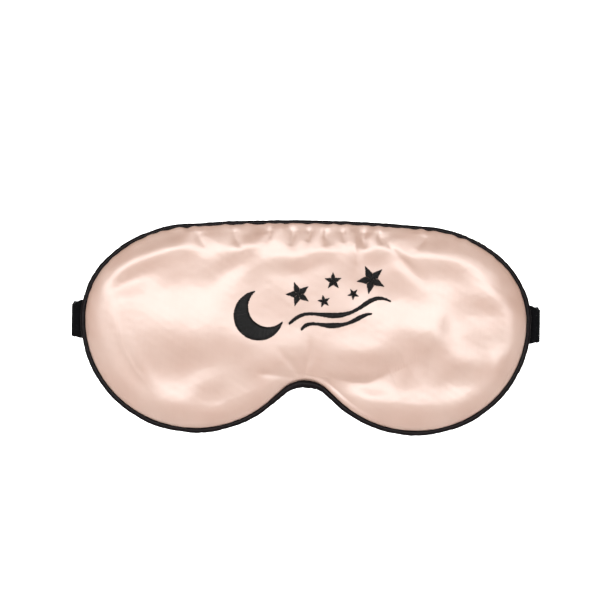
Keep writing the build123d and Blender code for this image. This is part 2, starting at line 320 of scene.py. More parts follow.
def fold_height(x, z, folds):
    """How far the folds lift the satin: a valley for a positive depth, fading at both ends."""
    height = np.zeros_like(x)
    for points, depth, above, below in folds:
        line = np.array(points, float)
        steps = np.linspace(0, len(line) - 1, 80)
        fine = np.stack([np.interp(steps, range(len(line)), line[:, k]) for k in (0, 1)], 1)
        kernel = np.hanning(15) / np.hanning(15).sum()
        padded = np.pad(fine, ((7, 7), (0, 0)), mode="edge")
        fine = np.stack([np.convolve(padded[:, k], kernel, "valid") for k in (0, 1)], 1)
        gap = np.full(x.shape, np.inf)
        share = np.zeros_like(x)
        side = np.zeros_like(x)
        tangent = np.gradient(fine, axis=0)
        tangent /= np.linalg.norm(tangent, axis=1)[:, None]
        for k, (point, ahead) in enumerate(zip(fine, tangent)):
            dx, dz = x - point[0], z - point[1]
            distance = np.hypot(dx, dz)
            nearer = distance < gap
            gap = np.where(nearer, distance, gap)
            share = np.where(nearer, k / (len(fine) - 1), share)
            side = np.where(nearer, ahead[0] * dz - ahead[1] * dx, side)
        width = np.where(side > 0, above, below)
        ends = np.sin(math.pi * np.clip(0.06 + 0.9 * share, 0, 1)) ** 0.8
        height -= depth * ends * np.exp(-((gap / width) ** 1.5))
    return height


def wave_sum(position, seed, shortest, longest, count):
    """A smooth random wave along a line, between about -1 and 1."""
    draw = random.Random(seed)
    total = np.zeros_like(position)
    for _ in range(count):
        length = draw.uniform(shortest, longest)
        total += np.sin(2 * math.pi * (position / length + draw.random()))
    return total / count ** 0.5


def blotches(x, z, seed, shortest, longest, count):
    """A smooth random field over the satin, between about -1 and 1."""
    draw = random.Random(seed)
    total = np.zeros_like(x)
    for _ in range(count):
        length, angle = draw.uniform(shortest, longest), draw.uniform(0, math.pi)
        along = x * math.cos(angle) + z * math.sin(angle)
        total += np.sin(2 * math.pi * (along / length + draw.random()))
    return total / count ** 0.5


def gather_height(at, depth, seed, strength):
    """Gathers that run in from the seam: at is the distance along the seam and depth that from it."""
    top = np.exp(-(((at - 10) / 62.0) ** 4))
    notch = np.exp(-(((np.abs(at) - HALF_LENGTH) / 16.0) ** 2))
    amount = 0.16 + 0.66 * top * (0.62 + 0.38 * wave_sum(at, seed + 4, 18, 47, 3)) + 0.36 * notch
    reach = 3.8 + 6.5 * top * (1 + 0.45 * wave_sum(at, seed + 1, 17, 44, 4)).clip(0.25) + 1.5 * notch
    drift = 1.5 * wave_sum(depth, seed + 6, 9, 21, 3) * np.minimum(depth / 4, 1)
    ripple = wave_sum(at + drift, seed, 8.5, 24.0, 6)
    fine = 0.30 * wave_sum(at, seed + 2, 3.0, 6.5, 6) * np.exp(-depth / 1.7)
    rise = 0.5 * depth / 1.6 * np.exp(1 - depth / 1.6) + 0.5 * (1 - np.exp(-depth / 1.2))
    near_seam = np.exp(-((depth / reach) ** 1.3))
    return strength * amount * (ripple + fine) * rise * near_seam * smooth(18, 11, depth)


def motif_point(u, v):
    """A point of the embroidery's own plane as (x, z) on the mask."""
    tilt = math.radians(MOTIF_TILT)
    return (
        MOTIF_CENTRE[0] + u * math.cos(tilt) - v * math.sin(tilt),
        MOTIF_CENTRE[1] + u * math.sin(tilt) + v * math.cos(tilt),
    )


def crown_share(depth):
    """The share of its full height that a cover has at a distance in from the seam."""
    return 0.30 * (1 - np.exp(-depth / 0.5)) + 0.70 * (1 - np.exp(-depth / 6.0))


SEAM_TREE = kdtree.KDTree(len(HALF_X))
for number, point in enumerate(zip(HALF_X, HALF_Z)):
    SEAM_TREE.insert((*point, 0), number)
SEAM_TREE.balance()
BAND_DEPTH = 20.0  # how far in from the seam a cover is laid out in rings


class Plane:
    """A cover laid flat: x, z, depth from the seam, place along it, outward normal, and its faces."""

    def __init__(self, rings, core_rows, crowding):
        inset = BAND_DEPTH * np.linspace(0, 1, rings) ** crowding
        x = (SEAM_X[None] - inset[:, None] * OUT_X[None]).ravel()
        z = (SEAM_Z[None] - inset[:, None] * OUT_Z[None]).ravel()
        first = (rings - 1) * AROUND
        share = np.arange(1, core_rows + 1) / (core_rows + 1)
        upper = first + np.arange(1, COLUMNS)
        lower = first + AROUND - np.arange(1, COLUMNS)
        core_x = (x[upper][:, None] * (1 - share) + x[lower][:, None] * share).ravel()
        core_z = (z[upper][:, None] * (1 - share) + z[lower][:, None] * share).ravel()
        core_depth = [SEAM_TREE.find((abs(a), b, 0))[2] for a, b in zip(core_x, core_z)]
        zeros = np.zeros(len(core_x))
        self.x, self.z = np.append(x, core_x), np.append(z, core_z)
        self.depth = np.append(np.repeat(inset, AROUND), core_depth)
        self.at = np.append(np.tile(SEAM_AT, rings), zeros)
        self.out_x = np.append(np.tile(OUT_X, rings), zeros)
        self.out_z = np.append(np.tile(OUT_Z, rings), zeros)
        self.faces = grid_faces(rings, AROUND, wrap_columns=True)
        self.faces += self.core_faces(core_rows, first)

    @staticmethod
    def core_faces(core_rows, first):
        """Faces of the lens inside the last ring, made of upright chords from its top to its bottom."""

        def chord(i):
            if i in (0, COLUMNS):
                return [first + i] * (core_rows + 2)
            middle = first + AROUND + (i - 1) * core_rows
            return [first + i, *range(middle, middle + core_rows), first + AROUND - i]

        faces = []
        for i in range(COLUMNS):
            near, far = chord(i), chord(i + 1)
            for k in range(core_rows + 1):
                corners = near[k], far[k], far[k + 1], near[k + 1]
                faces.append(list(dict.fromkeys(corners)))  # the first and last chords are single points
        return faces


class Cage:
    """A coarse square grid over a cover, for its cloth to settle on. Its corners past the seam are held."""

    def __init__(self, pitch):
        reach = math.ceil(HALF_X.max() / pitch)
        low, high = math.floor(HALF_Z.min() / pitch), math.ceil(HALF_Z.max() / pitch)
        columns, rows = np.arange(-reach, reach + 1), np.arange(high, low - 1, -1)
        grid_x, grid_z = np.meshgrid(columns * pitch, rows * pitch)
        x, z = grid_x.ravel(), grid_z.ravel()
        nearest = np.array([SEAM_TREE.find((abs(a), b, 0))[1] for a, b in zip(x, z)])
        along_out = (HALF_Z[nearest] - z) * np.cos(HALF_HEADING[nearest])
        along_out -= (HALF_X[nearest] - np.abs(x)) * np.sin(HALF_HEADING[nearest])
        quads = np.array(grid_faces(*grid_x.shape))
        quads = quads[(along_out[quads] > 0).any(axis=1)]
        used, numbered = np.unique(quads, return_inverse=True)
        self.faces = numbered.reshape(quads.shape).tolist()
        self.x, self.z, self.depth = x[used], z[used], np.maximum(along_out[used], 0)
        self.at = (np.where(x < 0, -1, 1) * HALF_ALONG[nearest])[used]


FINE = Plane(rings=58, core_rows=56, crowding=1.9)
CAGE = Cage(pitch=2.8)


def facing(plane, side):
    """A plane's faces, wound to face -Y for side -1 and +Y for side 1."""
    return plane.faces if side > 0 else [face[::-1] for face in plane.faces]


Cover = namedtuple("Cover", "side crown leans folds seed gathers")
FRONT = Cover(side=-1, crown=4.6, leans=FRONT_LEANS, folds=FRONT_FOLDS, seed=11, gathers=1.0)
BACK = Cover(side=1, crown=3.6, leans=BACK_LEANS, folds=BACK_FOLDS, seed=47, gathers=0.7)


def start_height(plane, cover):
    """The height of a cover over the flange before its cloth settles."""
    inside = smooth(1.0, 13.0, plane.depth)
    height = cover.crown * crown_share(plane.depth)
    height += lean_height(plane.x, plane.z, cover.leans) * inside
    height += fold_height(plane.x, plane.z, cover.folds) * smooth(0.3, 3.0, plane.depth)
    return height + 0.08 * blotches(plane.x, plane.z, cover.seed, 13, 34, 12) * inside


# --- Settling the satin over its filling

CLOTH_SCALE = 10.0  # the cloth solver is at home with pieces this many times larger
CLOTH_FRAMES = 20
CLOTH_QUALITY, CLOTH_MASS, CLOTH_DRAG = 5, 0.3, 1.0
CLOTH_PULL, CLOTH_SHEAR, CLOTH_BEND, CLOTH_PRESSURE = 15, 5, 10, 1.8
CLOTH_CAP = 3.0  # the furthest that settling may lift or lower the satin, mm
SPARE_ALL, SPARE_GATHERED = 0.005, 0.20  # spare length of the satin, away from and at the gathers
HOLD_EDGE, HOLD_MIDDLE, HOLD_STITCHED = 0.10, 0.27, 0.5


def upright_heights(points, faces):
    """The y of a smooth skin over a cage, read straight through the cover at each fine point."""
    skin = linked("skin", points, faces)
    skin.modifiers.new("smooth", "SUBSURF").levels = 3
    tree = BVHTree.FromObject(skin, bpy.context.evaluated_depsgraph_get())
    ahead, found = Vector((0, 1, 0)), []
    for x, z in zip(FINE.x, FINE.z):
        hit = tree.ray_cast(Vector((x, -100, z)), ahead)[0]
        found.append(math.nan if hit is None else hit.y)
    bpy.data.objects.remove(skin)
    return np.array(found)


def settled(cover):
    """How far the satin lifts off its start when its spare length buckles over the filling, in mm.

    The seam holds the cloth's edge, the filling presses it out, and it has spare length where it was
    gathered. It is held a little to its start, and firmly where it is stitched to the stabiliser.
    """
    height = start_height(CAGE, cover)
    points = np.stack([CAGE.x, cover.side * (HALF_FLANGE + height), CAGE.z], 1)
    faces = facing(CAGE, cover.side)
    cloth = linked("cloth", points * MM * CLOTH_SCALE, faces)
    scene = bpy.context.scene

    uneven = 0.65 + 0.35 * wave_sum(CAGE.at, cover.seed + 4, 18, 47, 3)
    top = np.exp(-(((CAGE.at - 8) / 62.0) ** 4)) * uneven
    nose = 0.7 * np.exp(-(((np.abs(CAGE.at) - HALF_LENGTH) / 15.0) ** 2))
    inwards = smooth(4.0, BAND_DEPTH, CAGE.depth)
    spare = np.clip((top + nose) * (1 - inwards) * cover.gathers, 0, 1)
    hold = HOLD_EDGE + (HOLD_MIDDLE - HOLD_EDGE) * inwards
    if cover is FRONT:
        stitched = ((CAGE.x - MOTIF_CENTRE[0]) / 44.0) ** 4 + ((CAGE.z - MOTIF_CENTRE[1]) / 17.0) ** 4
        hold = np.maximum(hold, HOLD_STITCHED * np.exp(-stitched))
        spare = spare * (1 - np.exp(-stitched))
    hold[CAGE.depth < 0.3] = 1
    groups = cloth.vertex_groups.new(name="hold"), cloth.vertex_groups.new(name="spare")
    for group, weights in zip(groups, (hold, spare)):
        for k, weight in enumerate(weights):
            group.add([k], float(weight), "REPLACE")

    modifier = cloth.modifiers.new("settle", "CLOTH")
    rules = modifier.settings
    rules.quality, rules.mass, rules.air_damping = CLOTH_QUALITY, CLOTH_MASS, CLOTH_DRAG
    rules.tension_stiffness = rules.compression_stiffness = CLOTH_PULL
    rules.shear_stiffness, rules.bending_stiffness = CLOTH_SHEAR, CLOTH_BEND
    rules.vertex_group_mass, rules.pin_stiffness = "hold", 1.0
    rules.vertex_group_shrink = "spare"
    rules.shrink_min, rules.shrink_max = -SPARE_ALL, -SPARE_GATHERED
    rules.use_pressure, rules.uniform_pressure_force = True, CLOTH_PRESSURE
    rules.effector_weights.gravity = 0
    modifier.collision_settings.use_collision = False
    modifier.collision_settings.use_self_collision = False
    modifier.point_cache.frame_start, modifier.point_cache.frame_end = 1, CLOTH_FRAMES
    for number in range(1, CLOTH_FRAMES + 1):
        scene.frame_set(number)
    shape = cloth.evaluated_get(bpy.context.evaluated_depsgraph_get()).to_mesh()
    after = np.zeros(3 * len(points))
    shape.vertices.foreach_get("co", after)
    bpy.data.objects.remove(cloth)
    scene.frame_set(1)
    after = after.reshape(-1, 3) / (MM * CLOTH_SCALE)
    lift = cover.side * (upright_heights(after, faces) - upright_heights(points, faces))
    lift = np.nan_to_num(lift) * smooth(0.0, 2.0, FINE.depth)
    return CLOTH_CAP * np.tanh(lift / CLOTH_CAP)


LIFTS = {cover: settled(cover) for cover in (FRONT, BACK)}
STRAP_BULGE = 2.45  # how far the back cover lies out over the strap's sewn ends


def cover_points(cover, sink=0.0):
    """A cover's points. sink lowers the whole of it into the mask, for what lies under it."""
    side, x, z, depth, at = cover.side, FINE.x, FINE.z, FINE.depth, FINE.at
    top = np.exp(-((at / 95.0) ** 4))
    notch = np.exp(-(((np.abs(at) - HALF_LENGTH) / 13.0) ** 2))
    height = start_height(FINE, cover) + LIFTS[cover]
    height += 0.016 * blotches(x, z, cover.seed + 5, 2.5, 6, 14) * smooth(1.0, 13.0, depth)
    height += gather_height(at, depth, cover.seed + 9, 0.8 * cover.gathers)
    base = HALF_FLANGE
    if side > 0:
        at_strap = smooth(BAND_WIDTH / 2 + 3.5, BAND_WIDTH / 2, np.abs(z)) * smooth(80, 90, np.abs(x))
        base = base + STRAP_BULGE * at_strap * np.exp(-depth / 3.5)
    uneven = 1 + (0.05 + 0.14 * top) * wave_sum(at, cover.seed + 3, 4, 14, 6)
    swell = (0.55 + 0.80 * top - 0.80 * notch) * uneven
    outward = swell * (depth / 0.5) * np.exp(1 - depth / 0.5) - sink * np.exp(-depth / 2)
    y = side * (base + np.maximum(height, 0) - sink * (1 - np.exp(-depth / 0.8)))
    return np.stack([x + outward * FINE.out_x, y, z + outward * FINE.out_z], 1)


# --- Materials

LOOKS = {}  # the material of each of the record's slots


class Nodes:
    """A material under construction: its node tree, and short ways to add to it."""

    def __init__(self, name):
        self.material = LOOKS[name] = bpy.data.materials.new(name)
        self.material.use_nodes = True
        self.tree = self.material.node_tree
        self.shader = self.tree.nodes["Principled BSDF"]

    def add(self, kind, inputs=(), **settings):
        node = self.tree.nodes.new(kind)
        for key, value in settings.items():
            setattr(node, key, value)
        for key, value in dict(inputs).items():
            self.set(node, key, value)
        return node

    def set(self, node, key, value):
        socket = node.inputs[key]
        if isinstance(value, bpy.types.NodeSocket):
            self.tree.links.new(value, socket)
        else:
            socket.default_value = value

    def surface(self, **inputs):
        for key, value in inputs.items():
            self.set(self.shader, key.replace("_", " "), value)

    def place(self, scale=(1, 1, 1), turn=(0, 0, 0), uv=False):
        """Texture coordinates in metres on the piece, or in millimetres along and across a band."""
        coordinate = self.add("ShaderNodeTexCoord").outputs["UV" if uv else "Object"]
        inputs = {"Vector": coordinate, "Scale": scale, "Rotation": turn}
        return self.add("ShaderNodeMapping", inputs).outputs[0]

    def noise(self, place, scale, detail=2.0, roughness=0.5):
        inputs = {"Vector": place, "Scale": scale, "Detail": detail, "Roughness": roughness}
        return self.add("ShaderNodeTexNoise", inputs).outputs[0]

    def wave(self, place, scale, distortion=0.0, direction="X"):
        inputs = {"Vector": place, "Scale": scale, "Distortion": distortion, "Detail": 1.0}
        return self.add("ShaderNodeTexWave", inputs, bands_direction=direction).outputs[1]

    def math(self, operation, a, b=0.0):
        node = self.add("ShaderNodeMath", {0: a, 1: b}, operation=operation)
        return node.outputs[0]

    def ramp(self, value, low, dark, high, light):
        node = self.add("ShaderNodeValToRGB", {"Fac": value})
        for element, position, colour in zip(node.color_ramp.elements, (low, high), (dark, light)):
            element.position, element.color = position, (*colour, 1)
        return node.outputs[0]

    def range(self, value, low, high):
        inputs = {"Value": value, "To Min": low, "To Max": high}
        return self.add("ShaderNodeMapRange", inputs).outputs[0]

    def bump(self, height, distance, strength=1.0, under=None):
        inputs = {"Height": height, "Distance": distance, "Strength": strength}
        if under is not None:
            inputs["Normal"] = under
        return self.add("ShaderNodeBump", inputs).outputs[0]


def satin_material():
    """Pale pink polyester satin: soft blotches of colour, long floats across and a fine cross thread."""
    n = Nodes("pink_satin")
    place = n.place()
    tone = n.ramp(n.noise(place, 55, 3), 0.35, (0.462, 0.286, 0.218), 0.68, (0.500, 0.333, 0.264))
    floats = n.noise(n.place(scale=(0.16, 1, 1)), 3600, 2)
    threads = n.wave(place, 900, 0.6, "Z")
    weave = n.math("ADD", n.math("MULTIPLY", threads, 0.35), floats)
    fine = n.bump(weave, 0.00004, 0.35)
    rumple = n.bump(n.noise(place, 420, 2), 0.00010, 0.22, fine)
    n.surface(Base_Color=tone, Roughness=n.range(floats, 0.34, 0.41), Normal=rumple)
    n.surface(Specular_IOR_Level=1.0, Metallic=0.03, Sheen_Weight=0.05, Sheen_Roughness=0.35)
    n.surface(Coat_Weight=0.85, Coat_IOR=1.8, Coat_Roughness=0.41, Coat_Normal=rumple)
    n.surface(Sheen_Tint=(1.0, 0.90, 0.84, 1))


def piping_material():
    """Black satin strip cut on the bias: the floats run round the cord at a slant."""
    n = Nodes("black_satin")
    floats = n.wave(n.place(turn=(0, 0.785, 0)), 520, 1.2, "X")
    wrinkle = n.noise(n.place(), 700, 3)
    tone = n.ramp(wrinkle, 0.3, (0.0024, 0.0014, 0.0017), 0.7, (0.0066, 0.0036, 0.0042))
    fine = n.bump(floats, 0.00004, 0.5)
    n.surface(Base_Color=tone, Roughness=n.range(wrinkle, 0.30, 0.44), Sheen_Weight=0.03)
    n.surface(Normal=n.bump(wrinkle, 0.00012, 0.35, fine), Specular_IOR_Level=0.10, Sheen_Roughness=0.3)
    n.surface(Sheen_Tint=(0.75, 0.50, 0.45, 1))


def elastic_material():
    """Black knitted elastic: lengthwise ribs are in the mesh, the knitted crossings are here."""
    n = Nodes("black_elastic")
    place = n.place(uv=True)
    loops = n.wave(place, 0.55, 1.5, "X")
    ribs = n.wave(n.place(scale=(0.25, 1, 1), uv=True), 1.6, 0.4, "Y")
    knit = n.math("ADD", n.math("MULTIPLY", loops, 0.6), ribs)
    fuzz = n.noise(place, 2.4, 4, 0.7)
    tone = n.ramp(fuzz, 0.3, (0.0020, 0.0020, 0.0024), 0.75, (0.0060, 0.0060, 0.0068))
    n.surface(Base_Color=tone, Roughness=n.range(fuzz, 0.72, 0.92), Sheen_Weight=0.01)
    n.surface(Normal=n.bump(fuzz, 0.00006, 0.4, n.bump(knit, 0.00012, 0.6)))
    n.surface(Specular_IOR_Level=0.05, Sheen_Roughness=0.5)


def thread_material(name, dark, light, roughness, gloss):
    """Twisted thread with a soft sheen."""
    n = Nodes(name)
    ply = n.wave(n.place(turn=(0.6, 0.4, 0.7)), 1500, 0.8)
    patch = n.noise(n.place(), 260, 3)
    tone = n.ramp(patch, 0.35, dark, 0.7, light)
    n.surface(Base_Color=tone, Roughness=n.range(patch, roughness - 0.06, roughness + 0.08))
    n.surface(Normal=n.bump(ply, 0.00005, 0.5), Specular_IOR_Level=gloss, Sheen_Weight=0.01)


def fibre_material(name, dark, light, scale, roughness=0.9):
    """A matted fibre or felted cloth."""
    n = Nodes(name)
    place = n.place(scale=(1, 1, 0.6), turn=(0.2, 0.5, 0.1))
    mat = n.noise(place, scale, 5, 0.7)
    tone = n.ramp(mat, 0.3, dark, 0.7, light)
    n.surface(Base_Color=tone, Roughness=roughness, Sheen_Weight=0.3, Sheen_Roughness=0.6)
    n.surface(Normal=n.bump(mat, 0.0004, 0.5), Specular_IOR_Level=0.2)


def plastic_material():
    """Moulded black acetal, slightly mottled, with faint scuffs."""
    n = Nodes("black_plastic")
    grain = n.noise(n.place(), 1800, 3)
    scuff = n.noise(n.place(scale=(1, 0.15, 1), turn=(0.3, 0.2, 0.8)), 700, 4)
    tone = n.ramp(scuff, 0.35, (0.0045, 0.0045, 0.0050), 0.75, (0.0100, 0.0100, 0.0108))
    n.surface(Base_Color=tone, Roughness=n.range(scuff, 0.28, 0.45), Specular_IOR_Level=0.22)
    n.surface(Normal=n.bump(grain, 0.00003, 0.4))


satin_material()
piping_material()
elastic_material()
thread_material("embroidery_thread", (0.0018, 0.0016, 0.0016), (0.0056, 0.0050, 0.0048), 0.36, 0.24)
thread_material("black_thread", (0.006, 0.006, 0.006), (0.016, 0.016, 0.016), 0.55, 0.2)
fibre_material("wadding", (0.76, 0.75, 0.72), (0.93, 0.92, 0.90), 900)
fibre_material("blackout_cloth", (0.012, 0.012, 0.014), (0.035, 0.035, 0.040), 1600)
fibre_material("cotton_cord", (0.66, 0.62, 0.54), (0.86, 0.83, 0.76), 1400)
fibre_material("stabiliser", (0.80, 0.80, 0.79), (0.92, 0.92, 0.91), 1200)
plastic_material()

# --- Covers, filling and piping


def satin_cover(name, node, cover):
    """A satin cover with its thickness, riding on the mask."""
    piece = mesh_object(name, node, cover_points(cover), facing(FINE, cover.side), "pink_satin")
    skin = piece.modifiers.new("satin", "SOLIDIFY")
    skin.thickness = SATIN * MM
    skin.offset = -1
    return piece


front = satin_cover("front_cover", "front_panel", FRONT)
back = satin_cover("back_cover", "back_panel", BACK)


FILLING_FLAT, FILLING_LEAST = 0.62, 0.66  # the wadding's flat face, and its skin where it is thinnest


def filling(name, node, cover):
    """Wadding that follows a cover from the inside, closed by a flat face against the liner."""
    side = cover.side
    points = cover_points(cover, sink=1.0)
    flat = points.copy()
    flat[:, 1] = side * FILLING_FLAT
    points[:, 1] = np.where(side * points[:, 1] < FILLING_LEAST, side * FILLING_LEAST, points[:, 1])
    count = len(points)
    rim = [[k, (k + 1) % AROUND, (k + 1) % AROUND + count, k + count] for k in range(AROUND)]
    outer = facing(FINE, side)
    inner = [[count + k for k in face[::-1]] for face in outer]
    rim = rim if side < 0 else [face[::-1] for face in rim]
    piece = mesh_object(name, node, np.concatenate([points, flat]), outer + inner + rim, "wadding")


filling("front_filling", "front_wadding", FRONT)
filling("back_filling", "back_wadding", BACK)


def piping():
    """The satin strip wrapped round its cord, a little fuller at the nose where it is eased round."""
    notch = np.exp(-((np.abs(SEAM_AT) - HALF_LENGTH) / 9.0) ** 2)
    wobble = 0.05 * wave_sum(SEAM_AT, 71, 3, 9, 6)
    radius = PIPING_RADIUS + 0.60 * notch + wobble
    grow = PIPING_RADIUS + 0.10 * wave_sum(SEAM_AT, 72, 9, 30, 5) + 0.05 * notch
    y = 0.10 * wave_sum(SEAM_AT, 73, 12, 40, 5)
    points = np.stack([SEAM_X + grow * OUT_X, y, SEAM_Z + grow * OUT_Z], 1)
    mesh_object("piping", "piping_cover", *tube(points, radius, 18, closed=True), "black_satin")


piping()

# --- Embroidery

THREAD = 0.20  # half-width of one strand of embroidery, mm
THREAD_PITCH = 0.36
STITCH_LIFT, STAR_LIFT = 0.62, 0.34

FRONT_TREE = BVHTree.FromPolygons(
    [vertex.co.copy() for vertex in front.data.vertices],
    [tuple(face.vertices) for face in front.data.polygons],
)


def front_y(x, z):
    """The satin's y at (x, z) on the front, in millimetres."""
    hit = FRONT_TREE.ray_cast(Vector((x * MM, -0.05, z * MM)), Vector((0, 1, 0)))
    return hit[0].y / MM


STITCH_DRAW = random.Random(5)


def strand(start, end, bends, lift=STITCH_LIFT):
    """One stitch across a shape: a strand that rises out of the satin, arches and dives in again.

    No two lie quite alike: each has its own height, and its ends overshoot the shape by a hair.
    """
    spill = [STITCH_DRAW.uniform(-0.10, 0.16) / max(math.dist(start, end), 1.0) for _ in range(2)]
    share = np.linspace(0, 1, bends + 1)
    arch = lift * STITCH_DRAW.uniform(0.82, 1.12) * np.sin(math.pi * share) ** 0.55 - 0.12
    share = -spill[0] + (1 + spill[0] + spill[1]) * share
    points = []
    for s, rise in zip(share, arch):
        x, z = motif_point(start[0] + (end[0] - start[0]) * s, start[1] + (end[1] - start[1]) * s)
        points.append((x, front_y(x, z) - rise, z))
    return tube(points, THREAD, 6)


def spans_along(direction, corners):
    """Where lines along a direction cross a polygon, one for each thread: pairs of points."""
    ux, uv = math.cos(direction), math.sin(direction)
    turned = [(p[0] * ux + p[1] * uv, p[1] * ux - p[0] * uv) for p in corners]
    low, high = min(q for _, q in turned), max(q for _, q in turned)
    spans = []
    for level in np.arange(low + THREAD_PITCH / 2, high, THREAD_PITCH):
        cuts = []
        for (a, b), (c, d) in zip(turned, turned[1:] + turned[:1]):
            if (b - level) * (d - level) < 0:
                cuts.append(a + (c - a) * (level - b) / (d - b))
        cuts.sort()
        for near, far in zip(cuts[::2], cuts[1::2]):
            spans.append([(cut * ux - level * uv, cut * uv + level * ux) for cut in (near, far)])
    return spans


def star_strands(centre, radius, turn):
    """A star of five arms, each a kite from the centre to its tip, with the strands laid straight across the
    arm.
    """
    strands, tips = [], []
    for k in range(10):
        reach = radius if k % 2 == 0 else STAR_WAIST * radius
        angle = math.radians(90 + turn + 36 * k)
        tips.append((centre[0] + reach * math.cos(angle), centre[1] + reach * math.sin(angle)))
    for k in range(0, 10, 2):
        tip, left, right = tips[k], tips[(k + 1) % 10], tips[k - 1]
        axis = math.atan2(tip[1] - centre[1], tip[0] - centre[0])
        kite = [centre, right, tip, left]
        spans = spans_along(axis + math.pi / 2, kite)
        strands += [strand(*span, bends=4, lift=STAR_LIFT) for span in spans]
    return strands


def moon_strands():
    """A crescent with its strands laid out like rays from its bite."""
    strands = []
    steps = int(2 * math.pi * MOON_RADIUS / THREAD_PITCH)
    for k in range(steps):
        angle = 2 * math.pi * k / steps
        ray = np.array((math.cos(angle), math.sin(angle)))
        outer = np.array(MOON_CENTRE) + MOON_RADIUS * ray
        offset = np.array(BITE_CENTRE) - outer
        gap = math.hypot(*offset)
        if gap <= BITE_RADIUS + 0.25:
            continue
        inner = np.array(BITE_CENTRE) - offset / gap * BITE_RADIUS
        strands.append(strand(tuple(outer), tuple(inner), bends=7))
    return strands


def swash_strands(points):
    """A flowing stroke, pointed at both ends, with strands slanting across it."""
    count = len(points)
    fit = np.polynomial.polynomial.polyfit(np.linspace(0, 1, count), np.array(points), count - 1)
    path = np.polynomial.polynomial.polyval(np.linspace(0, 1, 400), fit).T
    along = np.concatenate([[0], np.cumsum(np.hypot(*np.diff(path, axis=0).T))])
    strands = []
    for place in np.arange(0.2, along[-1] - 0.2, THREAD_PITCH):
        centre = np.array([np.interp(place, along, path[:, k]) for k in (0, 1)])
        ahead = np.array([np.interp(place + 0.3, along, path[:, k]) for k in (0, 1)]) - centre
        heading = math.atan2(ahead[1], ahead[0]) + math.radians(68)
        share = place / along[-1]
        half = 1.05 * (0.35 + 0.65 * math.sin(math.pi * share) ** 0.6)
        half *= 1 + 0.25 * math.sin(5.2 * share * math.pi + 0.7)
        step = half * np.array((math.cos(heading), math.sin(heading)))
        strands.append(strand(tuple(centre - step), tuple(centre + step), bends=5))
    return strands


for name, node, strands in (
    ("moon_stitching", "embroidered_moon", moon_strands()),
    ("star_stitching", "embroidered_stars", [s for star in STARS for s in star_strands(*star)]),
    ("swash_stitching", "embroidered_swashes", [s for line in SWASHES for s in swash_strands(line)]),
):
    mesh_object(name, node, *joined(strands), "embroidery_thread")

# --- The strap


ROUTE_STEP = 0.5


class Route:
    """A line in the XY plane made of straight runs and arcs, as points and distances, in millimetres."""

    def __init__(self, start, heading):
        self.points = [np.array(start, float)]
        self.heading = math.radians(heading)

    def line(self, length):
        count = max(1, round(length / ROUTE_STEP))
        ahead = np.array((math.cos(self.heading), math.sin(self.heading)))
        origin = self.points[-1]
        self.points += [origin + ahead * length * k / count for k in range(1, count + 1)]
        return self

    def arc(self, radius, sweep):
        turn = math.radians(sweep)
        count = max(6, round(radius * abs(turn) / ROUTE_STEP))
        side = math.copysign(radius, turn)
        centre = self.points[-1] + side * np.array((-math.sin(self.heading), math.cos(self.heading)))
        for k in range(1, count + 1):
            angle = self.heading + turn * k / count
            self.points.append(centre + side * np.array((math.sin(angle), -math.cos(angle))))
        self.heading += turn
        return self

    def ease(self, end):
        """A gentle S to a point, level at both ends."""
        origin, end = self.points[-1], np.array(end, float)
        count = max(6, round(math.dist(origin, end) / ROUTE_STEP))
        for k in range(1, count + 1):
            share = k / count
            climb = share * share * (3 - 2 * share)
            self.points.append(origin + (end - origin) * np.array((share, climb)))
        return self

    def mirrored(self):
        self.points = [point * (-1, 1) for point in self.points]
        return self


RIB_PITCH, RIB_HEIGHT, RIB_SINK = 1.2, 0.07, 0.06
EDGE_ROUND = 0.45
ACROSS = 91  # points across each face of the band
TRIM_UPPER, TRIM_LOWER = 2.1, 0.9  # the most that the band's edges are drawn in


def band(name, node, points, body=None, start_at=0.0, trim=None):
    """Ribbed elastic along a line of (x, y) points: two faces and rounded edges, closed at both ends.

    trim gives how far the upper and the lower edge are drawn in at a point, in millimetres.
    """
    line = np.asarray(points, float)
    tangent = np.gradient(line, axis=0)
    tangent /= np.linalg.norm(tangent, axis=1)[:, None]
    normal = np.stack([-tangent[:, 1], tangent[:, 0]], 1)
    along = start_at + np.concatenate([[0], np.cumsum(np.hypot(*np.diff(line, axis=0).T))])
    z = np.linspace(-BAND_WIDTH / 2, BAND_WIDTH / 2, ACROSS)
    past = (np.abs(z) - (BAND_WIDTH / 2 - EDGE_ROUND)).clip(0) / EDGE_ROUND
    rib = RIB_HEIGHT * np.cos(2 * math.pi * z / RIB_PITCH)
    half = (BAND / 2 - RIB_SINK + rib) * np.sqrt(np.clip(1 - past ** 2, 0.02, 1))
    loop_z = np.concatenate([z, z[::-1]])
    loop_half = np.concatenate([half, -half[::-1]])
    pick = 1 + 0.05 * np.sin(2 * math.pi * along / 1.0)
    edge_wave = 0.05 * wave_sum(along, 91, 3, 11, 5)
    rows = []
    for k, (point, side) in enumerate(zip(line, normal)):
        upper, lower = (0, 0) if trim is None else trim(point)
        drawn_in = np.where(loop_z > 0, upper, lower) - edge_wave[k]
        stretch = 1 - drawn_in / (BAND_WIDTH / 2)
        offset = loop_half * pick[k]
        xy = point[None] + side[None] * offset[:, None]
        rows.append(np.stack([xy[:, 0], xy[:, 1], loop_z * stretch], 1))
    shell = np.concatenate(rows)
    size = 2 * ACROSS
    faces = grid_faces(len(line), size, wrap_columns=True)
    for end in (0, len(line) - 1):
        first = end * size
        last = first + size - 1
        cap = [[first + k, first + k + 1, last - 1 - k, last - k] for k in range(ACROSS - 1)]
        faces += cap if end else [face[::-1] for face in cap]
    uv = np.stack([np.repeat(along, size), np.tile(loop_z, len(line))], 1)
    return mesh_object(name, node, shell, faces, "black_elastic", body, uv)


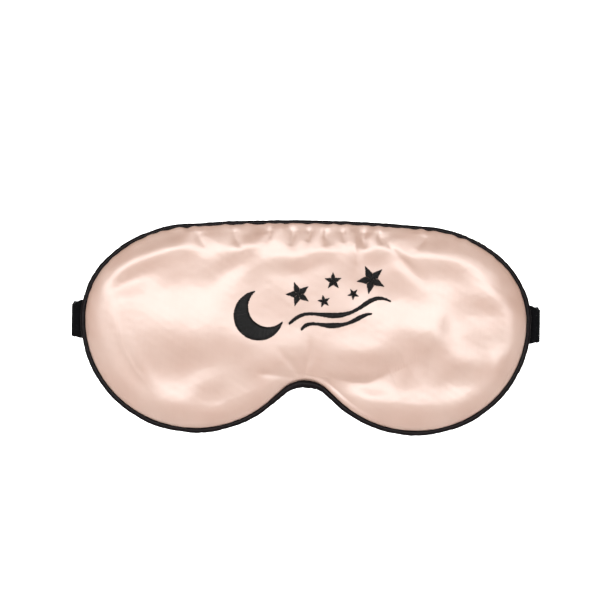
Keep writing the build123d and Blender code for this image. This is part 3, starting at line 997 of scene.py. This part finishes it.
def sewn_route(side):
    """The strap's line from its sewn end to the middle of its run behind the head."""
    route = Route((BAND_END_X, BAND_Y), 0).line(ARM_X - STUB_BEND - BAND_END_X).arc(STUB_BEND, 90)
    route.line(ARM_STRAIGHT).arc(LOOP_RADIUS, 90)
    return route if side > 0 else route.mirrored()


def arm(side, node, label):
    """One arm of the strap as two pieces, one for each joint that it crosses."""
    points = sewn_route(side).points
    split = next(k for k, point in enumerate(points) if point[1] >= ARM_SPLIT_Y)

    def trim(point):
        """The band's corners are drawn in where it turns at the mask, and less so along its arm."""
        turned = smooth(ARM_X - 4.5, ARM_X - 0.4, abs(point[0]))
        eased = smooth(4, 16, point[1])
        share = max(turned * (1 - eased), 0.35 * eased * smooth(56, 24, point[1]))
        return TRIM_UPPER * share, TRIM_LOWER * share

    root = band(label + "_root", node, points[: split + 1], trim=trim)
    along = sum(math.dist(a, b) for a, b in zip(points[:split], points[1 : split + 1]))
    rest = band(label + "_side", node, points[split:], start_at=along, trim=trim)
    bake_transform(root)
    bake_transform(rest)


arm(-1, "short_strap_arm", "short_strap")
arm(1, "long_strap_arm", "long_strap")


def rear_bands():
    """The bands behind the head: the short side's folded end, the long side round the ring and back."""
    ring_left, ring_right = RING_X - RING_SPAN / 2, RING_X + RING_SPAN / 2
    short = Route((-BACK_HALF, BACK_Y), 0).line(ring_left + BACK_HALF).arc(RING_WRAP, -180)
    short.ease((ring_left - TAB_SLOPE, BACK_Y - SEWN_STEP))
    short.heading = math.pi
    short.line(TAB_SEWN)
    long = Route((BACK_HALF, BACK_Y), 180).line(BACK_HALF - ring_right).arc(RING_WRAP, 180)
    tail_y = CENTRE_BAR_Y - BAR_WRAP
    tab_end = SLIDER_X - TAB_SLOPE - TAB_SEWN
    back_run = Route((ring_right, BACK_Y - 2 * RING_WRAP), 0).ease((tab_end - TAIL_LEAD, tail_y))
    tail = Route((tab_end - TAIL_LEAD, tail_y), 0).line(SLIDER_X - tab_end + TAIL_LEAD).arc(BAR_WRAP, 180)
    tail.ease((SLIDER_X - TAB_SLOPE, tail_y + SEWN_STEP))
    tail.heading = math.pi
    tail.line(TAB_SEWN)
    band("short_strap_fold", "short_strap_end", short.points, "strap_back")
    band("long_strap_rear", "long_strap_back", long.points, "strap_back")
    band("long_strap_fold", "long_strap_tail", tail.points, "adjuster")
    piece = band("long_strap_inner", "long_strap_return", back_run.points)
    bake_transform(piece)


rear_bands()


TACK_HALF = 1.15  # half the width of a bar tack
SEWING_THREAD = 0.13  # radius of the seam's thread


def bar_tack(name, node, centre_x, face_y, body, outward):
    """A zigzag bar tack down the band, each stitch a strand standing a little proud of the face."""
    half, top = TACK_HALF, BAND_WIDTH / 2 - 1.2
    levels = np.linspace(-top, top, 30)
    strands = []
    for k, (low, high) in enumerate(zip(levels, levels[1:])):
        ends = (-half, half) if k % 2 else (half, -half)
        share = np.linspace(0, 1, 6)
        x = centre_x + ends[0] + (ends[1] - ends[0]) * share
        y = face_y + outward * (0.16 * np.sin(math.pi * share) ** 0.5 - 0.02)
        strands.append(tube(np.stack([x, y, low + (high - low) * share], 1), 0.14, 6))
    for x in (centre_x - half, centre_x + half):
        z = np.linspace(-top, top, 60)
        y = face_y + outward * (0.03 + 0.10 * np.abs(np.sin(math.pi * np.arange(60) / 5)))
        strands.append(tube(np.stack([np.full(60, x), y, z], 1), SEWING_THREAD, 6))
    mesh_object(name, node, *joined(strands), "black_thread", body)


ring_tack = RING_X - RING_SPAN / 2 - TAB_SLOPE - TAB_SEWN / 2
slider_tack = SLIDER_X - TAB_SLOPE - TAB_SEWN / 2
tail_face = CENTRE_BAR_Y - BAR_WRAP - BAND / 2
bar_tack("short_strap_tack", "short_strap_stitches", ring_tack, BACK_Y + BAND / 2, "strap_back", 1)
bar_tack("long_strap_tack", "long_strap_stitches", slider_tack, tail_face, "adjuster", -1)
bar_tack("left_anchor_tack", "left_anchor_stitches", -TACK_X, BAND_Y + BAND / 2, "mask", 1)
bar_tack("right_anchor_tack", "right_anchor_stitches", TACK_X, BAND_Y + BAND / 2, "mask", 1)

# --- Layers inside the mask

LINER_INSET = 5.4  # from the seam to the liner's edge
LINER_Y, LINER_THICKNESS = -0.42, 0.85
PLY_RADIUS, PLY_OFFSET, PLY_TURNS = 0.40, 0.36, 60
STITCH_COLUMNS = 6  # seam columns that one stitch spans
STITCH_INSET = 1.3  # from the seam to its stitches
BACKING_LENGTH, BACKING_HEIGHT, BACKING_CORNER = 80.0, 25.0, 9.0
BACKING_THICKNESS, BACKING_GAP = 0.25, 0.12


def liner():
    """The blackout cloth: a flat sheet with a slightly uneven face."""
    edge = LINER_INSET * np.maximum(1 - FINE.depth / BAND_DEPTH, 0)
    wave = 0.06 * blotches(FINE.x, FINE.z, 83, 6, 18, 10) * smooth(0, 3, FINE.depth)
    points = np.stack([FINE.x - edge * FINE.out_x, LINER_Y + wave, FINE.z - edge * FINE.out_z], 1)
    piece = mesh_object("liner", "blackout_liner", points, facing(FINE, -1), "blackout_cloth")
    body = piece.modifiers.new("cloth", "SOLIDIFY")
    body.thickness, body.offset = LINER_THICKNESS * MM, -1


def piping_core():
    """Three twisted plies of cotton inside the piping."""
    turns = np.arange(AROUND) * 2 * math.pi * PLY_TURNS / AROUND
    parts = []
    for ply in range(3):
        angle = turns + ply * 2 * math.pi / 3
        grow = PIPING_RADIUS + PLY_OFFSET * np.cos(angle)
        points = np.stack([SEAM_X + grow * OUT_X, PLY_OFFSET * np.sin(angle), SEAM_Z + grow * OUT_Z], 1)
        parts.append(tube(points, PLY_RADIUS, 8, closed=True))
    mesh_object("piping_core", "piping_cord", *joined(parts), "cotton_cord")


def lockstitch(name, node, side):
    """The seam's stitches on one side of the allowance, each a strand with its ends pulled in."""
    parts = []
    rise = np.sin(math.pi * np.arange(STITCH_COLUMNS) / (STITCH_COLUMNS - 1)) ** 0.6
    y = side * (HALF_FLANGE + SATIN + 0.04 + 0.16 * rise)
    x, z = SEAM_X - STITCH_INSET * OUT_X, SEAM_Z - STITCH_INSET * OUT_Z
    for start in range(0, AROUND, STITCH_COLUMNS):
        index = slice(start, start + STITCH_COLUMNS)
        parts.append(tube(np.stack([x[index], y, z[index]], 1), SEWING_THREAD, 6))
    mesh_object(name, node, *joined(parts), "black_thread")


def backing():
    """The embroidery's stabiliser: a thin sheet that follows the satin from behind."""
    columns, rows = 81, 27
    points = []
    for v in np.linspace(-BACKING_HEIGHT / 2, BACKING_HEIGHT / 2, rows):
        into_corner = max(0, abs(v) - (BACKING_HEIGHT / 2 - BACKING_CORNER))
        half = BACKING_LENGTH / 2 - BACKING_CORNER + math.sqrt(max(0, BACKING_CORNER ** 2 - into_corner ** 2))
        for u in np.linspace(-half, half, columns):
            x, z = motif_point(u, v)
            points.append((x, front_y(x, z) + SATIN + BACKING_GAP, z))
    piece = mesh_object("backing", "embroidery_backing", points, grid_faces(rows, columns), "stabiliser")
    body = piece.modifiers.new("felt", "SOLIDIFY")
    body.thickness, body.offset = BACKING_THICKNESS * MM, 0


liner()
piping_core()
lockstitch("needle_stitches", "seam_needle_thread", -1)
lockstitch("bobbin_stitches", "seam_bobbin_thread", 1)
backing()

SLIDER_BEVEL = 0.22
for moulded in ("strap_ring", "slider"):
    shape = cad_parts[moulded].data
    shape.materials.clear()
    shape.materials.append(LOOKS["black_plastic"])
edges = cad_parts["slider"].modifiers.new("moulded_edges", "BEVEL")
edges.width, edges.segments, edges.limit_method = SLIDER_BEVEL * MM, 2, "ANGLE"
edges.angle_limit = math.radians(25)

# --- Stage and camera

PICTURE_WIDTH = 0.2841  # of the scene at the mask's seam plane
PICTURE_CENTRE = (-0.0005, 0.0078)
ROLL = -0.75
LENS, SENSOR = 100.0, 36.0
FLOOR_Z = -0.21
FLOOR_FRONT = -3.0
GLOW_NEAR, GLOW_FAR = 0.04, 0.45  # how brightly the sweep glows near the mask and away from it
SURROUND = 0.20  # how brightly the white surroundings light the mask


def camera():
    """A long lens straight in front of the mask."""
    data = bpy.data.cameras.new("camera")
    data.lens, data.sensor_width = LENS, SENSOR
    data.clip_start, data.clip_end = 0.01, 50
    eye = bpy.data.objects.new("camera", data)
    eye.location = (PICTURE_CENTRE[0], -PICTURE_WIDTH * LENS / SENSOR, PICTURE_CENTRE[1])
    eye.rotation_euler = (math.radians(90), math.radians(ROLL), 0)
    bpy.context.scene.collection.objects.link(eye)
    bpy.context.scene.camera = eye


def soft_light(name, place, aim, size, power, spread=math.pi):
    """A softbox, its size given as width and height."""
    data = bpy.data.lights.new(name, "AREA")
    data.shape, data.energy, data.spread = "RECTANGLE", power, spread
    data.size, data.size_y = size
    lamp = bpy.data.objects.new(name, data)
    lamp.location = place
    lamp.rotation_euler = (Vector(aim) - Vector(place)).to_track_quat("-Z", "Y").to_euler()
    bpy.context.scene.collection.objects.link(lamp)


def floor():
    """One pale sweep: a floor that turns up into a wall behind the mask."""
    depth, height, bend, half = 1.6, 2.4, 0.7, 3.0
    profile = [(FLOOR_FRONT, FLOOR_Z), (depth - bend, FLOOR_Z)]
    for step in range(1, 13):
        angle = math.pi / 2 * step / 12
        profile.append((depth - bend + bend * math.sin(angle), FLOOR_Z + bend - bend * math.cos(angle)))
    profile.append((depth, FLOOR_Z + height))
    points = np.array([(x, y, z) for y, z in profile for x in (-half, half)])
    sweep = linked("floor", points, grid_faces(len(profile), 2))
    n = Nodes("pale_floor")
    n.surface(Base_Color=(0.80, 0.80, 0.80, 1), Roughness=0.85)
    middle = {"Vector": n.place(scale=(0.5, 0.5, 0.5))}
    nearness = n.add("ShaderNodeTexGradient", middle, gradient_type="SPHERICAL").outputs[1]
    reach = {"Value": nearness, "From Min": 0.6, "From Max": 0.1, "To Min": GLOW_NEAR, "To Max": GLOW_FAR}
    n.surface(Emission_Color=(1, 1, 1, 1), Emission_Strength=n.add("ShaderNodeMapRange", reach).outputs[0])
    sweep.data.materials.append(n.material)
    sweep.data.polygons.foreach_set("use_smooth", [True] * len(sweep.data.polygons))


def studio():
    """Surroundings that look white but light the mask only a little, and the softboxes."""
    world = bpy.data.worlds.new("studio")
    world.use_nodes = True
    tree = world.node_tree
    backdrop, sky = tree.nodes["Background"], tree.nodes.new("ShaderNodeBackground")
    for shade, strength in ((backdrop, 1.0), (sky, SURROUND)):
        shade.inputs[0].default_value = (1, 1, 1, 1)
        shade.inputs[1].default_value = strength
    mix = tree.nodes.new("ShaderNodeMixShader")
    tree.links.new(tree.nodes.new("ShaderNodeLightPath").outputs["Is Camera Ray"], mix.inputs[0])
    tree.links.new(sky.outputs[0], mix.inputs[1])
    tree.links.new(backdrop.outputs[0], mix.inputs[2])
    tree.links.new(mix.outputs[0], tree.nodes["World Output"].inputs[0])
    bpy.context.scene.world = world
    bpy.context.scene.view_settings.view_transform = "Standard"
    soft_light("key", (-0.05, -1.05, 0.37), (0, 0, 0), (1.30, 0.42), 11.2)
    soft_light("right", (0.52, -1.0, 0.06), (0, 0, 0), (0.30, 0.36), 1.9)
    soft_light("left", (-0.60, -0.95, 0.08), (0, 0, 0), (0.36, 0.34), 2.0)
    soft_light("wall", (0, 1.0, 1.6), (0, 1.5, 0), (1.4, 1.0), 30, spread=math.radians(90))


camera()
floor()
studio()
